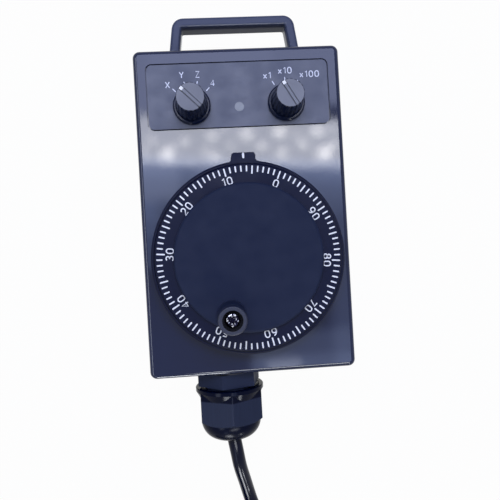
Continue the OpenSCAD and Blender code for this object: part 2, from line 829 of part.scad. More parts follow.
module terminal_block() {
    color([0.12, 0.35, 0.2]) translate(dial + [0, block_y, housing_z - block_h]) difference() {
        translate([-block_w / 2, -block_l / 2, 0]) cube([block_w, block_l, block_h]);
        for (i = [0 : terminals - 1]) translate([terminal_pitch * (i - (terminals - 1) / 2), 0, 0]) {
            translate([0, 0, -over]) cylinder(r = 2, h = 4 + over);
            translate([0, 0, 4 - over]) cylinder(r = 1.25 + fixed, h = 3.5 + over);
            translate([-1.6, -block_l / 2 - over, 5]) cube([3.2, 3, 3]);
        }
    }
}

module terminal_screws() {
    color(steel) for (i = [0 : terminals - 1])
        translate(dial + [terminal_pitch * (i - (terminals - 1) / 2), block_y, housing_z - block_h + 4])
            mirror([0, 0, 1]) screw(1.25, 3, 1.8, 1.4, 0.8);
}

// ---- Handwheel and crank ----

module handwheel() {
    plate_z = scale_h - plate_t;
    color(wheel_colour) difference() {
        translate(dial) rotate_extrude() polygon([
            [spindle_r + fixed, hub_z - 0.5], [nose_r, hub_z - 0.5], [nose_r, hub_z], [hub_r, hub_z],
            [hub_r, plate_z], [wheel_r - skirt_t, plate_z], [wheel_r - skirt_t, skirt_h],
            [wheel_r, skirt_h], [wheel_r, scale_h - rim], [wheel_r - rim, scale_h],
            [thread_r + fixed, scale_h], [thread_r + fixed, shoulder_z], [spindle_r + fixed, shoulder_z]
        ]);
        translate(dial + [crank[0], crank[1], plate_z - over])
            cylinder(r = thread_r + fixed, h = plate_t + 2 * over);
    }
}

// Raised disc that covers the hub nut; its face is bare
module front_disc() {
    color(wheel_colour) difference() {
        translate(dial + [0, 0, scale_h]) rotate_extrude() {
            square([disc_r - disc_edge, disc_t]);
            translate([0, 0]) square([disc_r, disc_t - disc_edge]);
            translate([disc_r - disc_edge, disc_t - disc_edge]) quarter(disc_edge);
        }
        translate(dial + [0, 0, scale_h - over]) cylinder(r = 5.2, h = pocket_h + over);
        translate(dial + [crank[0], crank[1], scale_h - over])
            cylinder(r = thread_r + fixed, h = disc_t + 2 * over);
    }
}

// Thin nuts: one on the spindle under the front disc, one on the crank's shaft behind the plate
module wheel_nuts() {
    color(steel) {
        translate(dial + [0, 0, scale_h]) nut(wheel_nut_af, wheel_nut_h, thread_r + fixed);
        translate(dial + [crank[0], crank[1], scale_h - plate_t - wheel_nut_h])
            nut(wheel_nut_af, wheel_nut_h, thread_r + fixed);
    }
}

// Clip in the spindle's groove, under the rear bearing
module spindle_clip() {
    color(steel) translate(dial + [0, 0, rear_bearing_z - clip_t]) difference() {
        ring(spindle_r + 1.1, spindle_r - clip_groove + fixed, clip_t);
        rotate(45) translate([0, 0, -over]) cube([2 * spindle_r, 2 * spindle_r, clip_t + 2 * over]);
    }
}

module crank_shaft() {
    foot = scale_h - plate_t - wheel_nut_h;
    color(steel) translate(dial + [crank[0], crank[1], 0]) difference() {
        union() {
            translate([0, 0, foot]) cylinder(r = thread_r, h = disc_z - foot + over / 2);
            translate([0, 0, disc_z]) cylinder(r = grip_foot_r - 1, h = crank_seat_t);
            translate([0, 0, disc_z]) cylinder(r = crank_shaft_r, h = shaft_top - disc_z);
        }
        translate([0, 0, shaft_top - 9]) cylinder(r = crank_screw_r + fixed, h = 9 + over);
    }
}

// Moulded grip, slightly waisted, with a round foot and a recess for the screw's head
module crank_grip() {
    waist_r = min(grip_foot_r, grip_end_r) - 0.35;
    waist_z = grip_l * 0.45;
    soft = 0.5;
    color(wheel_colour) translate(dial + [crank[0], crank[1], grip_z]) difference() {
        rotate_extrude() {
            polygon([
                [0, 0], [grip_foot_r - soft, 0], [grip_foot_r, soft], [grip_foot_r, 2.2],
                [waist_r, waist_z], [grip_end_r, grip_l - 3], [grip_end_r, grip_l - soft],
                [grip_end_r - soft, grip_l - soft], [grip_end_r - soft, grip_l], [0, grip_l]
            ]);
            translate([grip_end_r - soft, grip_l - soft]) quarter(soft);
        }
        translate([0, 0, -over]) cylinder(r = crank_shaft_r + run, h = grip_l + 2 * over);
        translate([0, 0, grip_l - grip_recess]) cylinder(r = grip_recess_r, h = grip_recess + over);
    }
}

module crank_screw() {
    round_off = 1.1;
    color(steel) translate(dial + [crank[0], crank[1], shaft_top]) difference() {
        union() {
            translate([0, 0, -8]) cylinder(r = crank_screw_r, h = 8);
            rotate_extrude() {
                square([crank_head_r - round_off, crank_head_h]);
                square([crank_head_r, crank_head_h - round_off]);
                intersection() {
                    translate([crank_head_r - round_off, crank_head_h - round_off]) circle(round_off);
                    square([crank_head_r, crank_head_h]);
                }
            }
        }
        for (turn = [20, 110]) rotate([0, 0, turn]) translate([0, 0, crank_head_h])
            cube([1.15 * crank_head_r, 0.3 * crank_head_r, 1.3 * crank_head_h], center = true);
    }
}

// ---- Selectors ----

// Skirted, fluted knob in two turned steps, hollow over the bushing's nut
module knob(rest) {
    body_z = knob_z + knob_base_h;
    color(wheel_colour) rotate([0, 0, rest]) difference() {
        union() {
            translate([0, 0, knob_z]) cylinder(r = knob_skirt_r, h = knob_base_h - rim);
            translate([0, 0, body_z - rim]) cylinder(r1 = knob_skirt_r, r2 = knob_skirt_r - rim, h = rim);
            translate([0, 0, body_z]) cylinder(r1 = knob_body_r, r2 = knob_top_r, h = knob_h - body_z);
        }
        flutes(body_z);
        translate([0, 0, knob_z - over]) cylinder(r = knob_cavity_r, h = collet_z - knob_z + over - 1.2);
        translate([0, 0, knob_z]) cylinder(r = collet_r + fixed, h = knob_h);
        translate([0, 0, knob_h - cap_t]) cylinder(r = cap_r + fixed, h = cap_t + over);
    }
}

// Flutes along the taper of the body
module flutes(body_z) {
    flute_r = 0.55;
    lean = atan((knob_body_r - knob_top_r) / (knob_h - body_z));
    for (i = [0 : knob_flutes - 1]) rotate([0, 0, 360 * (i + 0.5) / knob_flutes])
        translate([knob_body_r + 0.2, 0, body_z + rim]) rotate([0, -lean, 0])
            cylinder(r = flute_r, h = knob_h, $fn = 24);
}

// Cap pressed into the knob's top, with the raised pointer bar across it between two sunk lines
module knob_cap(rest) {
    color(overlay_colour) rotate([0, 0, rest]) {
        difference() {
            translate([0, 0, knob_h - cap_t]) cylinder(r = cap_r, h = cap_t);
            for (x = [-1, 1]) translate([x * (pointer_w + pointer_line) / 2, 0, knob_h])
                cube([pointer_line, 2 * cap_r + over, cap_t], center = true);
        }
        translate([0, 0, knob_h]) linear_extrude(pointer_h) intersection() {
            circle(cap_r - 0.1);
            square([pointer_w, 2 * cap_r], center = true);
        }
    }
}

// Brass collet and its nut, clamped on the shaft inside the knob
module collet() {
    color(brass) difference() {
        union() {
            translate([0, 0, collet_z]) cylinder(r = collet_r, h = knob_h - cap_t - collet_z - 2);
            translate([0, 0, knob_h - cap_t - 2]) hexagon(6.6, 1.8);
        }
        translate([0, 0, collet_z - over]) cylinder(r = shaft_r + fixed, h = knob_h);
    }
}

module shaft() {
    color(steel) translate([0, 0, switch_top - switch_h + 2])
        cylinder(r = shaft_r, h = knob_h - cap_t - 1 - switch_top + switch_h - 2);
}

// Switch body behind the panel with the bushing that comes through it
module rotary_switch() {
    color([0.1, 0.12, 0.3]) difference() {
        union() {
            translate([0, 0, switch_top - switch_h]) linear_extrude(switch_h) plan(switch_w, switch_w, 1.5);
            translate([0, 0, switch_top - rim]) cylinder(r = bushing_r, h = bush_top - switch_top + rim);
        }
        translate([0, 0, switch_top - switch_h + 2 - run])
            cylinder(r = shaft_r + run, h = switch_h + bush_top - switch_top + over);
    }
}

module at_selector(side) {
    translate([side * selector_x, selector_y, panel_z]) children();
}

module switch_nuts() {
    color(steel) at_selectors() translate([0, 0, washer_h]) nut(bush_nut_af, bush_nut_h, bushing_r + fixed);
}

module switch_washers() {
    color(steel) at_selectors() ring(1.6 * bushing_r, bushing_r + fixed, washer_h);
}

module switch_pins() {
    color(brass) at_selectors() for (i = [0 : switch_pins - 1]) rotate([0, 0, 360 * i / switch_pins])
        translate([switch_w / 2 - 2.4, 0, board2_z - pin_l]) cylinder(r = pin_r, h = pin_l);
}

module switch_board() {
    color(board_colour) translate([0, selector_y, panel_z + board2_z - board2_t]) difference() {
        linear_extrude(board2_t) plan(board2_w, board2_l, 1);
        for (x = [-1, 1], i = [0 : switch_pins - 1]) translate([x * selector_x, 0, -over])
            rotate([0, 0, 360 * i / switch_pins]) translate([switch_w / 2 - 2.4, 0, 0])
                cylinder(r = pin_r + run, h = board2_t + 2 * over);
        for (x = [-1, 1]) translate([x * 1.27 / 2, -lens_drop, -over])
            cylinder(r = 0.25 + run, h = board2_t + 2 * over);
    }
}

// ---- Cable gland ----

module gland_body() {
    color(case_colour) at_gland() difference() {
        union() {
            translate([0, 0, -stub_l]) cylinder(r = gland_thread_r, h = stub_l + seal_washer_t + over);
            rotate([0, 0, collar_turn]) translate([0, 0, seal_washer_t]) hexagon(collar_af, collar_l);
            translate([0, 0, seal_washer_t + over]) cylinder(r = stem_r, h = collar_l - over + stem_l);
        }
        translate([0, 0, -stub_l - over]) cylinder(r = gland_bore_r, h = 3 * (stub_l + collar_l));
    }
}

module gland_washer() {
    color(rubber) at_gland() ring(gland_thread_r + 1, gland_thread_r + fixed, seal_washer_t);
}

module gland_locknut() {
    color(case_colour) at_gland() translate([0, 0, -wall - locknut_h])
        nut(locknut_af, locknut_h, gland_thread_r + fixed);
}

// Ring of fingers that the dome nut closes on the seal
module gland_claws() {
    from = seal_washer_t + collar_l + stem_l;
    color(case_colour) at_gland() translate([0, 0, from]) difference() {
        cylinder(r1 = stem_r - 0.6, r2 = stem_r - 2.4, h = claw_l);
        translate([0, 0, -over]) cylinder(r = gland_bore_r, h = claw_l + 2 * over);
        for (i = [0 : claws - 1]) rotate([0, 0, 360 * i / claws])
            translate([4, -0.6, 1.5]) cube([10, 1.2, claw_l]);
    }
}

module gland_seal() {
    color(rubber) at_gland() translate([0, 0, seal_washer_t + collar_l + 3])
        ring(gland_bore_r - fixed, cable_r + fixed, seal_l);
}

// Dome nut: a flared rim, six chamfered flats, and the dome that the cable leaves by
module gland_dome_nut() {
    flat_r = nut_af / 2;
    dome_from = nut_l - dome_l;
    cone_from = stem_l + 3;
    color(case_colour) at_gland() translate([0, 0, nut_start]) difference() {
        union() {
            rotate_extrude() polygon([
                [0, 0], [nut_r - 0.3, 0], [nut_r, 0.3], [nut_r, 1.8], [flat_r - 0.2, 5.6], [0, 5.6]
            ]);
            intersection() {
                rotate([0, 0, nut_turn]) translate([0, 0, 2]) hexagon(nut_af, nut_l);
                rotate_extrude() {
                    polygon([[0, 2], [nut_r + 0.1, 2], [nut_r + 0.1, dome_from - 1.2], [flat_r, dome_from],
                        [0, dome_from]]);
                    intersection() {
                        translate([0, dome_from]) square([nut_r, dome_l]);
                        translate([flat_r - dome_l, dome_from]) circle(dome_l);
                    }
                    translate([0, dome_from]) square([flat_r - dome_l, dome_l]);
                }
            }
        }
        translate([0, 0, -over]) cylinder(r = stem_r + run, h = cone_from + over);
        translate([0, 0, -over]) cylinder(r1 = stem_r + 2.4 + over, r2 = stem_r, h = 2.4 + over);
        translate([0, 0, cone_from - rim])
            cylinder(r1 = stem_r, r2 = mouth_r + 0.25, h = nut_l - cone_from - 1.3 + rim);
        cylinder(r = mouth_r, h = nut_l + over);
    }
}

// ---- Wires, cable and connector ----

// Four wires to the encoder's terminals, and the bundle that runs past the encoder to the switches
module wires() {
    from = [gland[0], gland[1] + entry_in, gland[2]];
    block = dial + [0, block_y - block_l / 2, housing_z - block_h + block_wire_z];
    color([0.55, 0.12, 0.1]) for (i = [0 : terminals - 1]) {
        side = i - (terminals - 1) / 2;
        start = from + [2.5 * wire_r * side, 0, -1];
        end = block + [terminal_pitch * side, 1.5, 0];
        under = [(start[0] + end[0]) / 2, dial[1] - housing_r - 0.5, end[2]];
        sweep([start, start + [0, 2, 0], under, end - [0, 4, 0], end], round_section(wire_r, 6));
    }
    lane_x = -(housing_r + case_w / 2 - wall) / 2;
    lane_z = case_h / 3;
    lane_l = 0.6 * housing_r;
    to = [-board2_w / 4, selector_y - board2_l / 2 + 6, panel_z + board2_z - board2_t];
    color([0.15, 0.15, 0.4]) sweep([
        from + [0, 0, 1.2], from + [0, 1.5, 1.2], from + [-1.5, 4, 0.8], from + [-8, 7, -1],
        [lane_x + 2, dial[1] - lane_l, lane_z], [lane_x, dial[1], lane_z],
        [lane_x + 1, dial[1] + lane_l, lane_z],
        to + [-5, -12, -9], to + [0, -2, -5], to + [0, 0, -2], to
    ], round_section(bundle_r, 8));
}

// Jacket held by the gland, with its end inside the case
module cable_entry() {
    color(rubber) at_gland() translate([0, 0, -entry_in]) cylinder(r = cable_r, h = entry_in + entry_out);
}

// Bare stretches: from the gland to the floor and the coil, and from the coil to the connector
module cable() {
    color(rubber) {
        sweep(cable_out, round_section(cable_r, 10));
        sweep(cable_tail, round_section(cable_r, 10));
    }
}

module cable_coil() {
    color(rubber) translate(coil_at) rotate_extrude()
        translate([coil_r, coil_h / 2]) plan(coil_w, coil_h, cable_r);
}

module connector_shell() {
    color(steel) at_plug() difference() {
        union() {
            cylinder(r1 = 5, r2 = 6.6, h = boot_l);
            translate([0, 0, boot_l]) cylinder(r = shell_r, h = 6);
            translate([0, 0, boot_l]) cylinder(r = shell_r - 1, h = shell_l);
        }
        translate([0, 0, insert_back]) cylinder(r = shell_r - 1 - plug_wall, h = shell_l);
    }
}

module connector_insert() {
    color([0.1, 0.1, 0.1]) at_plug() translate([0, 0, insert_back]) {
        cylinder(r = shell_r - 1 - plug_wall - fixed, h = 3);
        for (i = [0 : pins - 2]) rotate([0, 0, 360 * i / (pins - 1)]) translate([3.9, 0, 3 - rim])
            cylinder(r = 0.7, h = plug_pin_l, $fn = 24);
        translate([0, 0, 3 - rim]) cylinder(r = 0.7, h = plug_pin_l, $fn = 24);
    }
}

module connector_ring() {
    grooves = 24;
    color(steel) at_plug() translate([0, 0, ring_from]) difference() {
        cylinder(r = ring_r, h = ring_l);
        translate([0, 0, -over]) cylinder(r = shell_r - 1 + run, h = ring_l + 2 * over);
        for (i = [0 : grooves - 1]) rotate([0, 0, 360 * i / grooves]) translate([ring_r, 0, 2])
            cylinder(r = 0.5, h = ring_l - 4, $fn = 16);
    }
}

front_shell();
rear_cover();
case_gasket();
cover_screws();
threaded_inserts();
control_overlay();
indicator_lens();
indicator_lamp();
hanging_handle();
handle_screws();
index_flange();
flange_screws();
flange_nuts();
encoder_housing();
housing_screws();
sensor_board();
light_gate();
detent_spring();
terminal_block();
terminal_screws();
bearing_outer_races();
bearing_balls();
bearing_inner_races();
main_spindle();
detent_wheel();
code_disc();
handwheel();
front_disc();
wheel_nuts();
spindle_clip();
crank_shaft();
crank_grip();
crank_screw();
at_selector(-1) knob(axis_rest);  // axis_knob
at_selector(-1) knob_cap(axis_rest);  // axis_knob_cap
at_selector(-1) collet();  // axis_collet
at_selector(-1) shaft();  // axis_shaft
at_selector(-1) rotary_switch();  // axis_switch
at_selector(1) knob(multiplier_rest);  // multiplier_knob
at_selector(1) knob_cap(multiplier_rest);  // multiplier_knob_cap
at_selector(1) collet();  // multiplier_collet
at_selector(1) shaft();  // multiplier_shaft
at_selector(1) rotary_switch();  // multiplier_switch
switch_nuts();
switch_washers();
switch_pins();
switch_board();
gland_body();
gland_washer();
gland_locknut();
gland_claws();
gland_seal();
gland_dome_nut();
wires();
cable_entry();
cable();
cable_coil();
connector_shell();
connector_ring();
connector_insert();
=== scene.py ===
"""Looks of the hand-held pulse generator: finishes, printed marks, the cable, and the studio."""
import math

import bmesh
import bpy
from mathutils import Matrix, Vector


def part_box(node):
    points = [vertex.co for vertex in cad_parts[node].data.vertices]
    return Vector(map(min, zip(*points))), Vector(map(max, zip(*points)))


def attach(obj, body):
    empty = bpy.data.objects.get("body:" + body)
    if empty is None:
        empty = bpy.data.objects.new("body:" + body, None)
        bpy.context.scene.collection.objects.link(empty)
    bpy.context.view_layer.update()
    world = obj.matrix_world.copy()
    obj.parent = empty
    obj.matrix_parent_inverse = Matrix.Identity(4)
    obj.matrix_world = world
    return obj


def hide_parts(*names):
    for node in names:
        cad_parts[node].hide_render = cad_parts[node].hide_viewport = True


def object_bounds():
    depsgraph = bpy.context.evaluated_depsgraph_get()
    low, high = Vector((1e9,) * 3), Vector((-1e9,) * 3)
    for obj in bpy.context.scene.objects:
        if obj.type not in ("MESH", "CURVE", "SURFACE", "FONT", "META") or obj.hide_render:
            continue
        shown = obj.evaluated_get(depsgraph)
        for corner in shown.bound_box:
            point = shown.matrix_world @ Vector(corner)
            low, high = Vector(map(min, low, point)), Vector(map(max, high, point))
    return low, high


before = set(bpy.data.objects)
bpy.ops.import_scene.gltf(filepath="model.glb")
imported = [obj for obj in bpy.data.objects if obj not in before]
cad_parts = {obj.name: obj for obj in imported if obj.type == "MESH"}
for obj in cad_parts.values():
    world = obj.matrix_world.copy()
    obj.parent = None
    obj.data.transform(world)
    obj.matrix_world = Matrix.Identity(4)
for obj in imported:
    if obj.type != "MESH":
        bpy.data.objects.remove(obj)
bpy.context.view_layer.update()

MM = 0.001
COLLECTION = bpy.context.scene.collection


# ---- Places taken from the frame ----


def middle(node):
    """Middle of the box round a CAD node."""
    low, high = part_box(node)
    return (low + high) / 2


PANEL_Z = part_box("front_shell")[1].z
SCALE_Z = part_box("handwheel")[1].z
INDEX_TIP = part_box("index_flange")[1]
DIAL = middle("handwheel")
DIAL.z = 0


# ---- Camera: looks down on the panel from about 22 cm, a little below and left of its middle ----

CAMERA_AT = Vector((-0.01176, -0.01707, 0.26088))
CAMERA_RIGHT = Vector((0.99675, -0.05625, 0.05763))
CAMERA_UP = Vector((0.05624, 0.99842, 0.00186))
CAMERA_ANGLE = math.radians(51.97)


def add_camera():
    data = bpy.data.cameras.new("camera")
    data.sensor_fit = "HORIZONTAL"
    data.angle = CAMERA_ANGLE
    camera = bpy.data.objects.new("camera", data)
    COLLECTION.objects.link(camera)
    right = CAMERA_RIGHT.normalized()
    back = right.cross(CAMERA_UP).normalized()
    up = back.cross(right)
    turn = Matrix((right, up, back)).transposed().to_4x4()
    camera.matrix_world = Matrix.Translation(CAMERA_AT) @ turn
    bpy.context.scene.camera = camera


# ---- Node trees ----


class Nodes:
    """Short calls for building the node tree of a material or a world."""

    def __init__(self, owner):
        owner.use_nodes = True
        self.tree = owner.node_tree

    def add(self, kind, **values):
        node = self.tree.nodes.new(kind)
        for key, value in values.items():
            setattr(node, key, value)
        return node

    def feed(self, source, socket):
        """Links an output to the socket, or sets the socket to a number or a colour."""
        if isinstance(source, bpy.types.NodeSocket):
            self.tree.links.new(source, socket)
        elif socket.type == "RGBA":
            socket.default_value = (*source, 1)
        else:
            socket.default_value = source

    def calc(self, operation, a, b):
        node = self.add("ShaderNodeMath", operation=operation)
        self.feed(a, node.inputs[0])
        self.feed(b, node.inputs[1])
        return node.outputs[0]

    def seen_directly(self):
        """1 for rays from the camera, in gloss and through glass, and 0 for those that light."""
        path = self.add("ShaderNodeLightPath").outputs
        first = self.calc("MAXIMUM", path["Is Camera Ray"], path["Is Glossy Ray"])
        return self.calc("MAXIMUM", first, path["Is Transmission Ray"])

    def surface(self, share, a, b, output):
        """Shows the shader a, and b where the share is 1."""
        mix = self.add("ShaderNodeMixShader")
        for source, socket in zip((share, a, b), mix.inputs):
            self.feed(source, socket)
        self.feed(mix.outputs[0], self.tree.nodes[output].inputs["Surface"])


class Material(Nodes):
    """A material's node tree. Places in it are those of the CAD frame, with the part at rest."""

    def __init__(self, name):
        self.material = bpy.data.materials.new(name)
        super().__init__(self.material)
        self.shader = self.tree.nodes["Principled BSDF"]
        self.coordinates = self.add("ShaderNodeTexCoord").outputs

    def noise(self, scale, detail, stretch=None):
        node = self.add("ShaderNodeTexNoise")
        node.inputs["Scale"].default_value = scale
        node.inputs["Detail"].default_value = detail
        place = self.coordinates["Object"]
        if stretch:
            mapping = self.add("ShaderNodeMapping")
            mapping.inputs["Scale"].default_value = stretch
            self.feed(place, mapping.inputs["Vector"])
            place = mapping.outputs["Vector"]
        self.feed(place, node.inputs["Vector"])
        return node.outputs["Fac"]

    def spread(self, value, low, high, start=0.3, end=0.7):
        """Low at the start of a value's range and high at its end; by default a noise's range."""
        node = self.add("ShaderNodeMapRange")
        node.inputs["From Min"].default_value = start
        node.inputs["From Max"].default_value = end
        node.inputs["To Min"].default_value = low
        node.inputs["To Max"].default_value = high
        self.feed(value, node.inputs["Value"])
        return node.outputs["Result"]

    def along(self, axis, of="Object"):
        """One coordinate of the place, or of the normal."""
        split = self.add("ShaderNodeSeparateXYZ")
        self.feed(self.coordinates[of], split.inputs[0])
        return split.outputs[axis]

    def from_axis(self, at):
        """Distance from an upright axis."""
        flat = self.add("ShaderNodeVectorMath", operation="MULTIPLY")
        self.feed(self.coordinates["Object"], flat.inputs[0])
        flat.inputs[1].default_value = (1, 1, 0)
        away = self.add("ShaderNodeVectorMath", operation="DISTANCE")
        self.feed(flat.outputs["Vector"], away.inputs[0])
        away.inputs[1].default_value = (at.x, at.y, 0)
        return away.outputs["Value"]

    def mix(self, share, a, b, kind="RGBA"):
        """From a, where the share is 0, to b, where it is 1."""
        node = self.add("ShaderNodeMix", data_type=kind)
        self.feed(a, node.inputs["A"])
        self.feed(b, node.inputs["B"])
        self.feed(share, node.inputs["Factor"])
        return node.outputs["Result"]

    def uneven(self, colour, vary):
        """A colour that slowly grows darker and lighter."""
        return self.mix(self.noise(60, 3), shade(colour, 1 - vary), shade(colour, 1 + vary))

    def bump(self, height, depth, under=None):
        """Depth is in millimetres."""
        node = self.add("ShaderNodeBump")
        node.inputs["Distance"].default_value = depth * MM
        node.inputs["Strength"].default_value = 1.0
        self.feed(height, node.inputs["Height"])
        if under:
            self.feed(under, node.inputs["Normal"])
        return node.outputs["Normal"]

    def finish(self, colour, roughness, normal=None, **constants):
        """Feeds the shader, with constants by their sockets' names, and gives the material."""
        sockets = self.shader.inputs
        self.feed(colour, sockets["Base Color"])
        self.feed(roughness, sockets["Roughness"])
        if normal:
            self.feed(normal, sockets["Normal"])
        for key, value in constants.items():
            sockets[key.replace("_", " ")].default_value = value
        return self.material


def shade(colour, amount):
    return tuple(c * amount for c in colour)


# ---- Finishes ----

GRAIN = 3600                           # scale of the grain of moulded faces
BAND_ROUGHNESS = 0.70                  # of the matt band on the handle's sides
BAND_MATT = 0.25                       # depth of the band, as a share of the handle's thickness
BAND_END = 0.50                        # depth at which the sides are glossy again
NUT_RIM = 5.2 * MM                     # glossy length, with painted shade, at the gland nut's upper end
NUT_DOME = 8.2 * MM                    # glossy length, with painted shade, at its lower end
NUT_SOFT = 0.3 * MM                    # half of the length over which the gloss and the painted shade set in
NUT_FLATS_ROUGHNESS = 0.40
NUT_DOME_ROUGHNESS = 0.22
NUT_RIM_ROUGHNESS = 0.14
SCREW_BLACK = (0.004, 0.004, 0.010)
SCREW_BARE_AND_GLINT = (0.34, 0.34, 0.36)
SCREW_GLINT_EDGE = (1.9 * MM, 2.5 * MM)      # distances from its axis between which more metal shows, as painted glints round the edge
SCREW_HIGHLIGHT_SIDE = (1.0 * MM, 1.7 * MM)      # the same along +Y, where the bare metal is a painted highlight
RECESS_R = 3.96 * MM                   # recess of the grip, round its screw, inside which shade is painted
RECESS_SOFT = 0.03 * MM
# dark colour painted as the shade inside the recess
RECESS_PAINTED_SHADE = (0.0005, 0.001, 0.006)
RECESS_ROUGHNESS = 0.80


def moulded(name, colour, roughness, specular, grain=GRAIN, depth=0.004, wave=0, vary=0.12):
    """Moulded plastic: uneven in colour and gloss, with a fine grain and, on gloss, a wave."""
    n = Material(name)
    normal = n.bump(n.noise(grain, 2), depth)
    if wave:
        normal = n.bump(n.noise(85, 1), wave, under=normal)
    sheen = n.spread(n.noise(140, 5), roughness * 0.85, roughness * 1.2)
    return n.finish(n.uneven(colour, vary), sheen, normal, Specular_IOR_Level=specular)


def turned_metal(name, colour, roughness):
    """Metal with fine turning or rolling marks."""
    n = Material(name)
    marks = n.noise(1500, 3, stretch=(1, 1, 14))
    return n.finish(
        n.mix(n.noise(90, 3), shade(colour, 0.88), colour),
        n.spread(marks, roughness * 0.75, roughness * 1.3), n.bump(marks, 0.004), Metallic=1.0)


def paint(name, colour):
    """Printed or filled marks."""
    n = Material(name)
    return n.finish(
        n.mix(n.noise(700, 3), shade(colour, 0.93), colour),
        n.spread(n.noise(500, 2), 0.45, 0.55), Specular_IOR_Level=0.3)


def handle_plastic(name, colour, roughness, specular):
    """Plastic of the handle: glossy, but for a matt band on its sides, next to the front."""
    n = Material(name)
    low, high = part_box("hanging_handle")
    thick = high.z - low.z
    front = n.spread(n.along("Z", of="Normal"), 0, 1, start=0.1, end=0.4)
    sides = n.spread(
        n.along("Z"), roughness, BAND_ROUGHNESS,
        start=high.z - BAND_END * thick, end=high.z - BAND_MATT * thick)
    return n.finish(
        n.uneven(colour, 0.10), n.mix(front, sides, roughness, kind="FLOAT"),
        n.bump(n.noise(GRAIN, 2), 0.003), Specular_IOR_Level=specular)


def gland_nut(name, satin, gloss):
    """The gland's nut: satin flats, fine moulding lines; glossy rim and dome in painted shade."""
    n = Material(name)
    low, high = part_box("gland_dome_nut")
    rim_y = high.y - NUT_RIM
    dome_y = low.y + NUT_DOME
    rim = n.spread(n.along("Y"), 0, 1, rim_y - NUT_SOFT, rim_y + NUT_SOFT)
    dome = n.spread(n.along("Y"), 1, 0, dome_y - NUT_SOFT, dome_y + NUT_SOFT)
    lines = n.noise(1800, 2, stretch=(1, 0.04, 1))
    flats = n.mix(lines, shade(satin, 0.85), shade(satin, 1.15))
    roughness = n.spread(dome, NUT_FLATS_ROUGHNESS, NUT_DOME_ROUGHNESS, 0, 1)
    return n.finish(
        # the rim and dome take the darker colour, which is painted shade
        n.mix(n.calc("MAXIMUM", rim, dome), flats, gloss),
        n.mix(rim, roughness, NUT_RIM_ROUGHNESS, kind="FLOAT"),
        n.bump(lines, 0.01), Specular_IOR_Level=0.05)


def worn_screw(name):
    """Blackened screw, dented by a driver: worn bare in spots; painted highlights at its edge and
    +Y.
    """
    n = Material(name)
    at = middle("crank_screw")
    edge = n.spread(n.from_axis(at), 0, 0.06, *SCREW_GLINT_EDGE)
    side = n.spread(n.along("Y"), 0, 0.16, at.y + SCREW_HIGHLIGHT_SIDE[0], at.y + SCREW_HIGHLIGHT_SIDE[1])
    # bare metal where wear and the painted glints and highlight add up
    wear_and_glint = n.calc("ADD", n.calc("ADD", n.noise(1000, 2), edge), side)
    return n.finish(
        n.mix(n.spread(wear_and_glint, 0, 1, start=0.57, end=0.64), SCREW_BLACK, SCREW_BARE_AND_GLINT),
        n.spread(n.noise(700, 3), 0.14, 0.28), n.bump(n.noise(700, 2), 0.18), Metallic=1.0)


def grip_plastic(name, colour, roughness, specular):
    """Plastic of the grip, with painted shade inside the recess round the screw."""
    n = Material(name)
    outside = n.spread(
        n.from_axis(middle("crank_grip")), 0, 1, start=RECESS_R, end=RECESS_R + RECESS_SOFT)
    return n.finish(
        # painted shade inside the recess, the grip's own colour outside it
        n.mix(outside, RECESS_PAINTED_SHADE, n.uneven(colour, 0.12)),
        n.spread(outside, RECESS_ROUGHNESS, roughness, 0, 1),
        n.bump(n.noise(GRAIN, 2), 0.008), Specular_IOR_Level=specular)


# Each finish by its colour, roughness and specular level
MATERIALS = {
    "case": moulded("case_gloss", (0.004, 0.0115, 0.052), 0.034, 0.28, wave=0.02),
    "cover": moulded("cover_satin", (0.004, 0.0125, 0.055), 0.30, 0.25, depth=0.008),
    "handle": handle_plastic("handle_gloss", (0.054, 0.065, 0.117), 0.14, 0.08),
    "wheel": moulded("wheel_matt", (0.001, 0.0035, 0.0235), 0.44, 0.07, depth=0.003),
    "disc": moulded("disc_satin", (0.0112, 0.0172, 0.0460), 0.60, 0.06, depth=0.005, vary=0.02),
    "gland": moulded("gland_satin", (0.018, 0.025, 0.056), 0.55, 0.06, depth=0.006),
    # the nut's second colour is painted shade on its rim and dome
    "nut": gland_nut("gland_nut", (0.022, 0.029, 0.058), (0.001, 0.003, 0.016)),
    "knob": moulded("knob_matt", (0.0015, 0.0055, 0.027), 0.20, 0.11, depth=0.005),
    "cap": moulded("cap_matt", (0.150, 0.160, 0.205), 0.55, 0.30, grain=4800, depth=0.014),
    "grip": grip_plastic("grip_matt", (0.005, 0.009, 0.032), 0.40, 0.24),
    "film": moulded(
        "overlay_film", (0.055, 0.066, 0.116), 0.50, 0.35, grain=5600, depth=0.01, vary=0.04),
    "lens": moulded("lens_frosted", (0.125, 0.145, 0.190), 0.35, 0.35, depth=0.004),
    "rubber": moulded("rubber_black", (0.010, 0.010, 0.018), 0.65, 0.25, depth=0.01),
    "cable": moulded("cable_sheath", (0.001, 0.003, 0.017), 0.15, 0.10, grain=2000, depth=0.0002),
    "steel": turned_metal("steel_plated", (0.42, 0.43, 0.46), 0.30),
    "black_steel": worn_screw("steel_blackened"),
    "nickel": turned_metal("nickel_plated", (0.36, 0.355, 0.34), 0.30),
    "brass": turned_metal("brass_turned", (0.72, 0.52, 0.22), 0.30),
    "board": moulded("board_mask", (0.015, 0.12, 0.045), 0.35, 0.50),
    "white": paint("mark_white", (0.88, 0.89, 0.93)),
    "label_white": paint("label_white", (0.74, 0.77, 0.90)),
}

